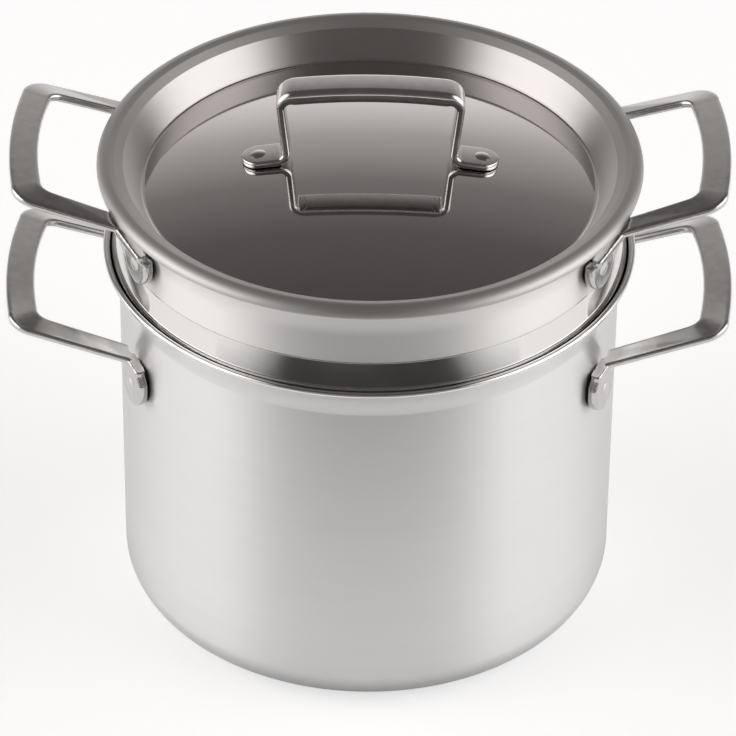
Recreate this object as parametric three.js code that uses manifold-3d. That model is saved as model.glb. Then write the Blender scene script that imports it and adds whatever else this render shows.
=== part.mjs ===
// Pasta pot: a drawn steel pot, a perforated insert that stands on its rim, and a recessed lid.
// Millimetres, +Z up, the pot's flat base on z = 0 and its axis on the Z axis. The loop handles point along X.

import * as THREE from 'three';
import { mergeVertices } from 'three/addons/utils/BufferGeometryUtils.js';
import Module from 'manifold-3d';

const wasm = await Module();
wasm.setup();

// Facets round the sheet metal bodies and round the small parts
const TURN_FACETS = 40;
const RIVET_FACETS = 8;
const HOLE_FACETS = 6;

// Straight steps that stand in for each round stretch of a profile
const BASE_CORNER_STEPS = 5;
const FLARE_STEPS = 3;
const BASKET_CORNER_STEPS = 3;
const SHOULDER_STEPS = 2;
const CROWN_STEPS = 3;
const SHEET_EDGE_STEPS = 2;
const TAB_BEND_STEPS = 2;
const GRIP_BEND_STEPS = 3;

// Clearance left between neighbouring pieces
const FIT = 0.3;

// Pot
const POT_RADIUS = 102.5;
const POT_SHEET = 2.5;
const POT_RIM_TOP = 165;
const BASE_CORNER = 17;

// Radius of the flare that the pot's rim and the insert's rim share, and how far each rim reaches out
const FLARE_RADIUS = 24;
const POT_FLARE_REACH = 6;
const INSERT_FLARE_REACH = 5.2;

// Insert
const INSERT_SHEET = 1.2;
const BASKET_RADIUS = 97.3;
const BASKET_BOTTOM = 13;
const BASKET_CORNER = 10;
const NECK_RADIUS = 102.8;
const SHOULDER_TOP = 160.4;
const SHOULDER_DROP = 7;
const COLLAR_RADIUS = 103.2;
const COLLAR_BOTTOM = 176.4;
const COLLAR_STEP_HEIGHT = 0.8;
const INSERT_RIM_TOP = 204.5;

// Perforations of the insert: staggered rows in the wall, rings in the floor
const HOLE_RADIUS = 2.75;
const WALL_ROWS = 6;
const FIRST_ROW_Z = 30;
const ROW_PITCH = 21;
const FLOOR_RINGS = 3;
const RING_PITCH = 20;

// Lid
const LID_SHEET = 1.2;
const LID_RADIUS = 110.6;
const LID_LIP_BOTTOM = 202;
const LID_TOP = 206.5;
const LID_CROWN_WIDTH = 5;
const LID_CROWN_HEIGHT = 3.7;
const DOME_EDGE_RADIUS = 92;
const DOME_CENTRE_Z = 205.2;
const DOME_CURVE = 320;

// Shares of the dome's radius at which its curve has a point
const DOME_SHARES = [0, 0.25, 0.5, 0.75, 1];

// Bends of the lid outside its dome, each as a distance out from the dome's edge and a height over it
const LID_BENDS = [
  { name: 'groove floor', out: 0.8, up: -0.1 },
  { name: 'wall foot', out: 1.6, up: 0.8 },
  { name: 'wall head', out: 6.2, up: 8.6 },
  { name: 'rim inner face', out: 7.8, up: 10.8 },
  { name: 'rim inner shoulder', out: 10, up: 13.1 },
  { name: 'rim crest start', out: 12.2, up: 14.25 },
];

// Loop handles
const FOOT_RADIUS = 9.2;
const FOOT_THICKNESS = 4.4;
const FOOT_TOP_REACH = 7.5;
const ROOT_SPREAD = 41.5;
const ROOT_WIDTH = 9.5;
const ARM_SPREAD = 39;
const ARM_WIDTH = 8.5;
const LOOP_TILT = THREE.MathUtils.degToRad(17.7);
const LOOP_THICKNESS = 3.4;
const GRIP_WIDTH = 11.6;
const GRIP_BOW = 2.6;
const INNER_CORNER = 5;
const OUTER_CORNER = 10;
const CORNER_FLARE = 1;

// Turn of a loop's corner at each of its points, and shares of a grip's half length from its end to its middle
const CORNER_TURNS = [0, 30, 60, 90].map(THREE.MathUtils.degToRad);
const GRIP_SHARES = [0.5, 0];

// What differs between the pot's loops and the insert's, whose feet lean out to clear the rim above them:
// the wall and the azimuth of the feet, the rivet's height, where over the rivet the foot starts to lean,
// how far its top stands off the wall, the rise from the rivet to the arms, and the grip's reach
const POT_LOOP = {
  wallRadius: POT_RADIUS,
  footAngle: THREE.MathUtils.degToRad(25.8),
  rivetZ: 123.3,
  leanFrom: 4,
  standOff: 0.4,
  rise: 10.4,
  reach: 148.8,
};
const INSERT_LOOP = {
  wallRadius: COLLAR_RADIUS,
  footAngle: THREE.MathUtils.degToRad(30.2),
  rivetZ: 188.6,
  leanFrom: 3.7,
  standOff: 2.2,
  rise: 7.2,
  reach: 145.4,
};

// Lid handle, a strap bent into a bridge
const TAB_X = 45;
const TAB_RADIUS = 7;
const TAB_THICKNESS = 3;
const LEG_BOTTOM_X = 33.9;
const LEG_TOP_X = 36.2;
const LEG_THICKNESS = 3.2;
const LEG_WIDTH = 12;
const TAB_BEND = 4.2;
const GRIP_BEND = 5.5;
const BRIDGE_TOP = 240.5;
const BRIDGE_ARCH = 1.8;
const BRIDGE_THICKNESS = 6.5;
const BRIDGE_WIDTH = 14;

// Share of a bar's thickness that is cut off its edges
const EDGE_CUT = 0.22;

// Angles at which a bar's round end has a point, from its tip to its full width
const TIP_ANGLES = [80, 55, 28, 0].map(THREE.MathUtils.degToRad);

// Rivets
const SHANK_RADIUS = 2;
const HEAD_RADIUS = 3.3;
const HEAD_HEIGHT = 0.9;
const HEAD_SHOULDER_RADIUS = 2.5;
const HEAD_SHOULDER_HEIGHT = 0.6;
const BACK_HEAD_RADIUS = 4.5;
const BACK_HEAD_FLAT = 3.6;

// Length of the cylinders that cut holes
const DRILL_LENGTH = 30;

const UP = new THREE.Vector3(0, 0, 1);

// Factors that mirror a point in the plane across X and in the plane across Y
const FLIP_X = new THREE.Vector3(-1, 1, 1);
const FLIP_Y = new THREE.Vector3(1, -1, 1);

// Turn a geometry into a solid body, with its faces looking outwards.
function solid(geometry) {
  const bare = geometry.clone();
  bare.deleteAttribute('normal');
  bare.deleteAttribute('uv');
  const welded = mergeVertices(bare, 1e-4);
  const points = welded.attributes.position;
  const corners = [];
  let volume = 0;
  const a = new THREE.Vector3();
  const b = new THREE.Vector3();
  const c = new THREE.Vector3();
  for (let i = 0; i < welded.index.count; i += 3) {
    const [p, q, r] = [0, 1, 2].map((k) => welded.index.getX(i + k));
    if (p === q || q === r || r === p) continue;
    corners.push([p, q, r]);
    a.fromBufferAttribute(points, p);
    b.fromBufferAttribute(points, q);
    c.fromBufferAttribute(points, r);
    volume += a.dot(b.cross(c));
  }
  const faces = corners.map(([p, q, r]) => (volume > 0 ? [p, q, r] : [p, r, q]));
  const mesh = new wasm.Mesh({
    numProp: 3,
    vertProperties: new Float32Array(points.array),
    triVerts: new Uint32Array(faces.flat()),
  });
  return new wasm.Manifold(mesh);
}

// A named mesh made from a solid body, with a material of its own
function piece(name, body, finish) {
  const mesh = body.getMesh();
  const geometry = new THREE.BufferGeometry();
  geometry.setAttribute('position', new THREE.BufferAttribute(new Float32Array(mesh.vertProperties), 3));
  geometry.setIndex(new THREE.BufferAttribute(new Uint32Array(mesh.triVerts), 1));
  geometry.computeVertexNormals();
  const part = new THREE.Mesh(geometry, new THREE.MeshStandardMaterial(finish));
  part.name = name;
  return part;
}

// Points of a circular arc in the profile plane, ends included, angles in radians
function arc(centreX, centreY, radius, from, to, steps) {
  const points = [];
  for (let i = 0; i <= steps; i += 1) {
    const angle = from + ((to - from) * i) / steps;
    points.push(new THREE.Vector2(centreX + radius * Math.cos(angle), centreY + radius * Math.sin(angle)));
  }
  return points;
}

// The other face of a sheet: the profile moved sideways by the sheet's thickness, mitred at every bend
function otherFace(profile, thickness) {
  const last = profile.length - 1;
  return profile.map((point, i) => {
    const before = profile[Math.max(i - 1, 0)];
    const after = profile[Math.min(i + 1, last)];
    const into = i > 0 ? point.clone().sub(before).normalize() : null;
    const outOf = i < last ? after.clone().sub(point).normalize() : null;
    const first = into ?? outOf;
    const second = outOf ?? into;
    const left = new THREE.Vector2(-first.y - second.y, first.x + second.x).normalize();
    const spread = -first.y * left.x + first.x * left.y;
    const moved = point.clone().addScaledVector(left, thickness / spread);
    if (point.x === 0) moved.x = 0;
    return moved;
  });
}

// A body of revolution of even thickness. The profile is one face and runs from the axis to the free edge;
// the sheet lies on its left, and the free edge is rounded.
function turnedSheet(profile, thickness) {
  const far = otherFace(profile, thickness);
  const edge = profile[profile.length - 1];
  const farEdge = far[far.length - 1];
  const middle = edge.clone().add(farEdge).multiplyScalar(0.5);
  const start = Math.atan2(edge.y - middle.y, edge.x - middle.x);
  const end = start + Math.PI * Math.sign(thickness);
  const round = arc(middle.x, middle.y, Math.abs(thickness) / 2, start, end, SHEET_EDGE_STEPS);
  const loop = [...profile, ...round.slice(1, -1), ...far.reverse()];
  const turned = new THREE.LatheGeometry(loop, TURN_FACETS);
  turned.rotateX(Math.PI / 2);
  return solid(turned);
}

// Outer face of a flared rim above a straight wall, for a sheet lying on the inside
function flare(wallRadius, sheet, rimTop, reach) {
  const turn = Math.acos(1 - reach / FLARE_RADIUS);
  const start = rimTop - sheet / 2 - (FLARE_RADIUS + sheet / 2) * Math.sin(turn);
  return arc(wallRadius + FLARE_RADIUS, start, FLARE_RADIUS, Math.PI, Math.PI - turn, FLARE_STEPS);
}

// Cut a round hole through a body at a point, along a direction
function drill(body, radius, facets, centre, direction) {
  const geometry = new THREE.CylinderGeometry(radius, radius, DRILL_LENGTH, facets);
  geometry.rotateX(Math.PI / 2);
  geometry.applyQuaternion(new THREE.Quaternion().setFromUnitVectors(UP, direction));
  geometry.translate(centre.x, centre.y, centre.z);
  return body.subtract(solid(geometry));
}

// Cut a hole with clearance for a rivet
function drillRivetHole(body, centre, direction) {
  return drill(body, SHANK_RADIUS + FIT, RIVET_FACETS, centre, direction);
}

// Unit vector in the horizontal plane at an angle from +X
function outward(angle) {
  return new THREE.Vector3(Math.cos(angle), Math.sin(angle), 0);
}

// Azimuths of the four feet of a pair of loops, by name
function feet(loop) {
  return {
    right_back: loop.footAngle,
    left_back: Math.PI - loop.footAngle,
    left_front: Math.PI + loop.footAngle,
    right_front: -loop.footAngle,
  };
}

// Cut a hole for the rivet of every handle foot
function drillFeet(body, loop) {
  let drilled = body;
  for (const angle of Object.values(feet(loop))) {
    const axis = outward(angle);
    const centre = axis.clone().multiplyScalar(loop.wallRadius).setZ(loop.rivetZ);
    drilled = drillRivetHole(drilled, centre, axis);
  }
  return drilled;
}

// Pot: flat base, rounded corner, straight wall and flared rim
function potBody() {
  const profile = [
    new THREE.Vector2(0, 0),
    ...arc(POT_RADIUS - BASE_CORNER, BASE_CORNER, BASE_CORNER, -Math.PI / 2, 0, BASE_CORNER_STEPS),
    ...flare(POT_RADIUS, POT_SHEET, POT_RIM_TOP, POT_FLARE_REACH),
  ];
  return drillFeet(turnedSheet(profile, POT_SHEET), POT_LOOP);
}

// Shoulder that seats in the pot's flare: two equal arcs from the basket wall out to the neck
function shoulder() {
  const step = NECK_RADIUS - BASKET_RADIUS;
  const turn = 2 * Math.atan2(step, SHOULDER_DROP);
  const radius = SHOULDER_DROP / (2 * Math.sin(turn));
  const lowZ = SHOULDER_TOP - SHOULDER_DROP;
  const low = arc(BASKET_RADIUS + radius, lowZ, radius, Math.PI, Math.PI - turn, SHOULDER_STEPS);
  const high = arc(NECK_RADIUS - radius, SHOULDER_TOP, radius, -turn, 0, SHOULDER_STEPS);
  return [...low, ...high.slice(1)];
}

// Cut the holes of the basket's wall, each in the middle of a facet and staggered from row to row
function drillWall(body) {
  let drilled = body;
  const facetAngle = (2 * Math.PI) / TURN_FACETS;
  for (let row = 0; row < WALL_ROWS; row += 1) {
    for (let column = row % 2; column < TURN_FACETS; column += 2) {
      const axis = outward((column + 0.5) * facetAngle);
      const centre = axis.clone().multiplyScalar(BASKET_RADIUS).setZ(FIRST_ROW_Z + row * ROW_PITCH);
      drilled = drill(drilled, HOLE_RADIUS, HOLE_FACETS, centre, axis);
    }
  }
  return drilled;
}

// Cut the holes of the basket's floor: one in the centre, then rings of six, twelve and so on
function drillFloor(body) {
  const middle = new THREE.Vector3(0, 0, BASKET_BOTTOM);
  let drilled = drill(body, HOLE_RADIUS, HOLE_FACETS, middle, UP);
  for (let ring = 1; ring <= FLOOR_RINGS; ring += 1) {
    const count = 6 * ring;
    for (let i = 0; i < count; i += 1) {
      const centre = outward((2 * Math.PI * i) / count).multiplyScalar(ring * RING_PITCH).setZ(BASKET_BOTTOM);
      drilled = drill(drilled, HOLE_RADIUS, HOLE_FACETS, centre, UP);
    }
  }
  return drilled;
}

// Insert: perforated basket, shoulder, polished neck, collar and flared rim, drawn from one sheet
function insertBasket() {
  const cornerRadius = BASKET_RADIUS - BASKET_CORNER;
  const cornerZ = BASKET_BOTTOM + BASKET_CORNER;
  const profile = [
    new THREE.Vector2(0, BASKET_BOTTOM),
    ...arc(cornerRadius, cornerZ, BASKET_CORNER, -Math.PI / 2, 0, BASKET_CORNER_STEPS),
    ...shoulder(),
    new THREE.Vector2(NECK_RADIUS, COLLAR_BOTTOM - COLLAR_STEP_HEIGHT),
    new THREE.Vector2(COLLAR_RADIUS, COLLAR_BOTTOM),
    ...flare(COLLAR_RADIUS, INSERT_SHEET, INSERT_RIM_TOP, INSERT_FLARE_REACH),
  ];
  const shell = turnedSheet(profile, INSERT_SHEET);
  return drillFeet(drillFloor(drillWall(shell)), INSERT_LOOP);
}

// Height of the lid's top face over its dome
function domeHeight(radius) {
  return DOME_CENTRE_Z - radius ** 2 / (2 * DOME_CURVE);
}

// Slope of the dome's top face along its radius
function domeSlope(radius) {
  return -radius / DOME_CURVE;
}

// Axis of a lid rivet, square to the dome under its tab; side is +1 on the right and -1 on the left
function lidRivetAxis(side) {
  return new THREE.Vector3(-side * domeSlope(TAB_X), 0, 1).normalize();
}

// Point of the dome's top face under a lid rivet
function lidRivetFoot(side) {
  return new THREE.Vector3(side * TAB_X, 0, domeHeight(TAB_X));
}

// Cut the holes for both lid rivets
function drillTabs(body) {
  const drilled = drillRivetHole(body, lidRivetFoot(-1), lidRivetAxis(-1));
  return drillRivetHole(drilled, lidRivetFoot(1), lidRivetAxis(1));
}

// Round crown of the lid's rim, a quarter of an ellipse from its crest out to its lip
function lidCrown() {
  const crestRadius = LID_RADIUS - LID_CROWN_WIDTH;
  const quarter = arc(0, 0, 1, Math.PI / 2, 0, CROWN_STEPS);
  return quarter.map(({ x, y }) => new THREE.Vector2(
    crestRadius + LID_CROWN_WIDTH * x,
    LID_TOP - LID_CROWN_HEIGHT * (1 - y),
  ));
}

// Lid: shallow dome, narrow groove, sloping wall, rolled rim and turned-down lip
function lidShell() {
  const dome = DOME_SHARES.map((share) => {
    const radius = share * DOME_EDGE_RADIUS;
    return new THREE.Vector2(radius, domeHeight(radius));
  });
  const edge = dome[dome.length - 1];
  const bends = LID_BENDS.map(({ out, up }) => new THREE.Vector2(edge.x + out, edge.y + up));
  const lip = new THREE.Vector2(LID_RADIUS, LID_LIP_BOTTOM + LID_SHEET / 2);
  return drillTabs(turnedSheet([...dome, ...bends, ...lidCrown(), lip], -LID_SHEET));
}

// Skin a bar through a row of stations. A station has a centre, a width direction, a width and a thickness;
// the section is a rectangle with its corners cut off, square to the run of the bar.
function loft(stations) {
  const positions = [];
  const last = stations.length - 1;
  stations.forEach((station, i) => {
    const before = stations[Math.max(i - 1, 0)].centre;
    const after = stations[Math.min(i + 1, last)].centre;
    const run = after.clone().sub(before).normalize();
    const face = run.cross(station.across).normalize();
    const halfWidth = station.width / 2;
    const halfThickness = station.thickness / 2;
    const cut = EDGE_CUT * Math.min(station.width, station.thickness);
    const quarter = [[halfWidth, halfThickness - cut], [halfWidth - cut, halfThickness]];
    const section = [
      ...quarter,
      ...quarter.map(([w, t]) => [-w, t]).reverse(),
      ...quarter.map(([w, t]) => [-w, -t]),
      ...quarter.map(([w, t]) => [w, -t]).reverse(),
    ];
    for (const [w, t] of section) {
      const point = station.centre.clone().addScaledVector(station.across, w).addScaledVector(face, t);
      positions.push(point.x, point.y, point.z);
    }
  });
  const ring = positions.length / 3 / stations.length;
  const index = [];
  for (let i = 0; i < last; i += 1) {
    for (let k = 0; k < ring; k += 1) {
      const a = i * ring + k;
      const b = i * ring + ((k + 1) % ring);
      index.push(a, b, a + ring, b, b + ring, a + ring);
    }
  }
  for (let k = 1; k < ring - 1; k += 1) {
    index.push(0, k + 1, k);
    index.push(last * ring, last * ring + k, last * ring + k + 1);
  }
  const geometry = new THREE.BufferGeometry();
  geometry.setAttribute('position', new THREE.Float32BufferAttribute(positions, 3));
  geometry.setIndex(index);
  return solid(geometry);
}

// The mirror image of a row of stations
function flipped(stations, flip) {
  return stations.map((station) => ({
    ...station,
    centre: station.centre.clone().multiply(flip),
    across: station.across.clone().multiply(flip),
  }));
}

// A row of stations and its mirror image in a vertical plane, the last station being on that plane
function mirrored(half, flip) {
  return [...half, ...flipped(half.slice(0, -1).reverse(), flip)];
}

// Point on the centre of a foot of a loop, at a distance off the wall; side is +1 at the back, -1 at the front
function onFoot(loop, side, standOff) {
  const distance = loop.wallRadius + FIT + FOOT_THICKNESS / 2 + standOff;
  return outward(side * loop.footAngle).multiplyScalar(distance);
}

// Arm, corner and grip lie in one plane that rises outwards: the point of that plane over a point in plan
function onPlane(loop, point) {
  const z = loop.rivetZ + loop.rise + (point.x - onFoot(loop, 1, 0).x) * Math.tan(LOOP_TILT);
  return new THREE.Vector3(point.x, point.y, z);
}

// A station of a bar from its inner to its outer edge
function between(from, to, thickness) {
  return {
    centre: from.clone().lerp(to, 0.5),
    across: to.clone().sub(from).normalize(),
    width: from.distanceTo(to),
    thickness,
  };
}

// Point in plan where an arm starts, on the middle of its foot's top
function armRoot(loop) {
  const foot = onFoot(loop, 1, loop.standOff);
  return new THREE.Vector2(foot.x + (foot.y - ROOT_SPREAD) * Math.tan(loop.footAngle), ROOT_SPREAD);
}

// Stations of a loop's foot at +Y: a plate on the wall with a round lower end. Towards its top it leans off the
// wall and spreads to the root of the arm.
function footStations(loop) {
  const across = outward(loop.footAngle + Math.PI / 2);
  const onWall = onFoot(loop, 1, 0);
  const stations = TIP_ANGLES.map((angle) => ({
    centre: onWall.clone().setZ(loop.rivetZ - FOOT_RADIUS * Math.sin(angle)),
    across,
    width: 2 * FOOT_RADIUS * Math.cos(angle),
    thickness: FOOT_THICKNESS,
  }));
  stations.push({ ...stations[stations.length - 1], centre: onWall.clone().setZ(loop.rivetZ + loop.leanFrom) });
  const topEnd = onFoot(loop, 1, loop.standOff).addScaledVector(across, FOOT_TOP_REACH);
  const top = between(onPlane(loop, armRoot(loop)), onPlane(loop, topEnd), FOOT_THICKNESS);
  stations.push({ ...top, centre: top.centre.clone().setZ(top.centre.z - LOOP_THICKNESS / 2) });
  stations.push({ ...top, centre: top.centre.clone().setZ(top.centre.z + LOOP_THICKNESS / 4) });
  return stations;
}

// Inner and outer edge of a loop in plan, from the arm through the rounded corner to the middle of the grip
function loopEdges(loop) {
  const innerX = loop.reach - GRIP_BOW - GRIP_WIDTH;
  const outerX = loop.reach - GRIP_BOW;
  const innerY = ARM_SPREAD - ARM_WIDTH / 2;
  const outerY = ARM_SPREAD + ARM_WIDTH / 2;
  const cornerY = outerY + CORNER_FLARE;
  const pairs = [];
  for (const turn of CORNER_TURNS) {
    const along = 1 - Math.sin(turn);
    const aside = 1 - Math.cos(turn);
    pairs.push([
      new THREE.Vector2(innerX - INNER_CORNER * along, innerY - INNER_CORNER * aside),
      new THREE.Vector2(outerX - OUTER_CORNER * along, cornerY - OUTER_CORNER * aside),
    ]);
  }
  const gripEndY = cornerY - OUTER_CORNER;
  for (const share of GRIP_SHARES) {
    const bow = GRIP_BOW * (1 - share ** 2);
    pairs.push([
      new THREE.Vector2(innerX + bow, share * gripEndY),
      new THREE.Vector2(outerX + bow, share * gripEndY),
    ]);
  }
  return pairs;
}

// Bar of a loop at +X: from the foot at +Y along an arm and round the grip to the foot at -Y
function loopBar(loop) {
  const half = [{
    centre: onPlane(loop, armRoot(loop)),
    across: outward(loop.footAngle / 2 + Math.PI / 2),
    width: ROOT_WIDTH,
    thickness: LOOP_THICKNESS,
  }];
  for (const [inner, outer] of loopEdges(loop)) {
    half.push(between(onPlane(loop, inner), onPlane(loop, outer), LOOP_THICKNESS));
  }
  return loft(mirrored(half, FLIP_Y));
}

// Loop handle at +X: one casting of a bar and two feet
function loopHandle(loop) {
  const foot = footStations(loop);
  const casting = loopBar(loop).add(loft(foot)).add(loft(flipped(foot, FLIP_Y)));
  return drillFeet(casting, loop);
}

// Point on the centre of the lid handle's left tab, at a distance from the lid's axis
function onTab(radius) {
  const slope = domeSlope(TAB_X);
  const lift = (FIT + TAB_THICKNESS / 2) * Math.hypot(1, slope);
  return new THREE.Vector3(-radius, 0, domeHeight(TAB_X) + (radius - TAB_X) * slope + lift);
}

// Lid handle: a tab on the dome, a bend, a leg, a bend and half of the arched grip, then the same back
function lidHandle() {
  const across = new THREE.Vector3(0, 1, 0);
  const half = TIP_ANGLES.map((angle) => ({
    centre: onTab(TAB_X + TAB_RADIUS * Math.sin(angle)),
    across,
    width: 2 * TAB_RADIUS * Math.cos(angle),
    thickness: TAB_THICKNESS,
  }));
  const place = (point, width, thickness) => {
    half.push({ centre: new THREE.Vector3(point.x, 0, point.y), across, width, thickness });
  };
  const tabEnd = onTab(LEG_BOTTOM_X + TAB_BEND);
  const tabBend = arc(tabEnd.x, tabEnd.z + TAB_BEND, TAB_BEND, -Math.PI / 2, 0, TAB_BEND_STEPS);
  tabBend.forEach((point, i) => {
    const width = THREE.MathUtils.lerp(2 * TAB_RADIUS, LEG_WIDTH, i / TAB_BEND_STEPS);
    place(point, width, LEG_THICKNESS);
  });
  const gripZ = BRIDGE_TOP - BRIDGE_THICKNESS / 2;
  const bendZ = gripZ - BRIDGE_ARCH - GRIP_BEND;
  const gripBend = arc(GRIP_BEND - LEG_TOP_X, bendZ, GRIP_BEND, Math.PI, Math.PI / 2, GRIP_BEND_STEPS);
  gripBend.forEach((point, i) => {
    const share = i / GRIP_BEND_STEPS;
    const width = THREE.MathUtils.lerp(LEG_WIDTH, BRIDGE_WIDTH, share);
    place(point, width, THREE.MathUtils.lerp(LEG_THICKNESS, BRIDGE_THICKNESS, share));
  });
  for (const share of GRIP_SHARES) {
    const x = share * (GRIP_BEND - LEG_TOP_X);
    place(new THREE.Vector2(x, gripZ - BRIDGE_ARCH * share ** 2), BRIDGE_WIDTH, BRIDGE_THICKNESS);
  }
  return drillTabs(loft(mirrored(half, FLIP_X)));
}

// Rivet along +Z with a low domed head at the top of its grip and a wider flat head at the bottom
function rivet(bottom, top) {
  const profile = [
    new THREE.Vector2(0, bottom - HEAD_HEIGHT),
    new THREE.Vector2(BACK_HEAD_FLAT, bottom - HEAD_HEIGHT),
    new THREE.Vector2(BACK_HEAD_RADIUS, bottom),
    new THREE.Vector2(SHANK_RADIUS, bottom),
    new THREE.Vector2(SHANK_RADIUS, top),
    new THREE.Vector2(HEAD_RADIUS, top),
    new THREE.Vector2(HEAD_SHOULDER_RADIUS, top + HEAD_SHOULDER_HEIGHT),
    new THREE.Vector2(0, top + HEAD_HEIGHT),
  ];
  const turned = new THREE.LatheGeometry(profile, RIVET_FACETS);
  turned.rotateX(Math.PI / 2);
  return solid(turned);
}

// The four rivets of a pair of loops, each through a wall of the given thickness and a foot
function footRivets(prefix, loop, sheet) {
  const facetMiddle = loop.wallRadius * (1 - Math.cos(Math.PI / TURN_FACETS));
  const body = rivet(-sheet - facetMiddle - FIT, FIT + FOOT_THICKNESS + FIT);
  return Object.entries(feet(loop)).map(([place, angle]) => {
    const mesh = piece(`${prefix}_rivet_${place}`, body, RIVET_STEEL);
    mesh.quaternion.setFromUnitVectors(UP, outward(angle));
    mesh.position.copy(outward(angle)).multiplyScalar(loop.wallRadius).setZ(loop.rivetZ);
    return mesh;
  });
}

// A rivet of the lid, through its sheet and a tab
function lidRivet(name, side) {
  const mesh = piece(name, rivet(-LID_SHEET - 2 * FIT, FIT + TAB_THICKNESS + FIT), RIVET_STEEL);
  mesh.quaternion.setFromUnitVectors(UP, lidRivetAxis(side));
  mesh.position.copy(lidRivetFoot(side));
  return mesh;
}

// The two loops of a pair, the left one turned half round the axis
function loopPair(prefix, loop) {
  const casting = loopHandle(loop);
  const right = piece(`${prefix}_handle_right`, casting, CAST);
  const left = piece(`${prefix}_handle_left`, casting, CAST);
  left.rotation.z = Math.PI;
  return [right, left];
}

const SATIN = { color: 0xb9b8b6, roughness: 0.32, metalness: 1 };
const INSERT_STEEL = { color: 0xc4c3c1, roughness: 0.24, metalness: 1 };
const MIRROR = { color: 0xb5b0ad, roughness: 0.1, metalness: 1 };
const CAST = { color: 0xa9a5a3, roughness: 0.3, metalness: 1 };
const RIVET_STEEL = { color: 0xa4a09e, roughness: 0.25, metalness: 1 };

const pot = new THREE.Group();
pot.add(piece('pot_body', potBody(), SATIN));
pot.add(...loopPair('pot', POT_LOOP));
pot.add(...footRivets('pot', POT_LOOP, POT_SHEET));

const insert = new THREE.Group();
insert.add(piece('insert_basket', insertBasket(), INSERT_STEEL));
insert.add(...loopPair('insert', INSERT_LOOP));
insert.add(...footRivets('insert', INSERT_LOOP, INSERT_SHEET));

const lid = new THREE.Group();
lid.add(piece('lid_shell', lidShell(), MIRROR));
lid.add(piece('lid_handle', lidHandle(), CAST));
lid.add(lidRivet('lid_rivet_left', -1), lidRivet('lid_rivet_right', 1));

const pastaPot = new THREE.Group();
pastaPot.add(pot, insert, lid);

export default pastaPot;
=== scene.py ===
"""Looks of a steel pasta pot with a perforated insert and a recessed lid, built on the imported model.

Every piece of sheet metal is turned again with a smooth outline, the cast handles are skinned and softened,
and each finish is a procedural steel: brushed, polished or cast.
"""

import math
from collections import namedtuple

import bmesh
import bpy
from mathutils import Matrix, Vector


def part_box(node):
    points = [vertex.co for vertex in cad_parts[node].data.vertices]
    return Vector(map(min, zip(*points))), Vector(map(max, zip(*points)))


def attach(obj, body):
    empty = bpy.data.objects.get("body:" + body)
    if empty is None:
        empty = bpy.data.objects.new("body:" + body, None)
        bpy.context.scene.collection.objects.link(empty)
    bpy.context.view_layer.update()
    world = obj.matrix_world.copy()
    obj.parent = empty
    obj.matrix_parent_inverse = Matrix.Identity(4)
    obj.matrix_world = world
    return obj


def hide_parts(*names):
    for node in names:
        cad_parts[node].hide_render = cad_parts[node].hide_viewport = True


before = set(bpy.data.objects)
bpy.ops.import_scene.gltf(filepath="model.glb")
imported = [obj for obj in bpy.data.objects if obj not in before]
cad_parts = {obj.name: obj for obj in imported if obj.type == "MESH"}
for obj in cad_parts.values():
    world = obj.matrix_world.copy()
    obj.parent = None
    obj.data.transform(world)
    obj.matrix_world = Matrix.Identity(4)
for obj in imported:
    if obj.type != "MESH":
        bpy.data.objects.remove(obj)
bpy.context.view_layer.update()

MM = 0.001
UP = Vector((0, 0, 1))
ALONG_Y = Vector((0, 1, 0))

# Gap between seated or riveted pieces
FIT = 0.3 * MM

# A point nearer to the axis than this lies on it, and points nearer to each other than this are one
ON_AXIS = 1e-9
SAME_POINT = 1e-6

# Factors that mirror a point in the plane across X and in the plane across Y
FLIP_X = Vector((-1, 1, 1))
FLIP_Y = Vector((1, -1, 1))

# Smoothness of the turned and skinned pieces, and how much of a straight a rounded corner may take up
TURN_SEGMENTS = 192
RIVET_SEGMENTS = 32
HOLE_SEGMENTS = 24
ARC_STEPS = 16
EDGE_STEPS = 6
SHARP_ANGLE = math.radians(40)
CORNER_SHARE = 0.45

# Flares: the radius that both rims share, how far each rim reaches out, and the crease where the pot's starts
FLARE_RADIUS = 24 * MM
POT_FLARE_REACH = 6 * MM
INSERT_FLARE_REACH = 5.2 * MM
POT_CREASE = math.radians(7)

# Pot. The frame's rims have few facets, so their smooth tops lie a little higher.
POT_SHEET = 2.5 * MM
BASE_CORNER = 17 * MM
POT_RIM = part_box("pot_body")[1]
POT_RIM_TOP = POT_RIM.z + 0.3 * MM
POT_RADIUS = POT_RIM.x - POT_FLARE_REACH

# Insert. Its neck spreads to a foot on the pot's rim.
INSERT_SHEET = 1.2 * MM
INSERT_LOW, INSERT_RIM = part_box("insert_basket")
INSERT_RIM_TOP = INSERT_RIM.z + 0.1 * MM
COLLAR_RADIUS = INSERT_RIM.x - INSERT_FLARE_REACH
NECK_RADIUS = COLLAR_RADIUS - 0.4 * MM
BASKET_RADIUS = NECK_RADIUS - 5.5 * MM
BASKET_BOTTOM = INSERT_LOW.z
BASKET_CORNER = 10 * MM
SHOULDER_TOP = POT_RIM_TOP - 4.6 * MM
SHOULDER_DROP = 7 * MM
NECK_FOOT = Vector((POT_RIM.x - 3.1 * MM, POT_RIM_TOP - 1.1 * MM))
FOOT_FILLET = 0.8 * MM
COLLAR_BOTTOM = INSERT_RIM_TOP - 28.1 * MM
COLLAR_STEP_HEIGHT = 0.8 * MM
STEP_FILLET = 0.5 * MM

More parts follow.
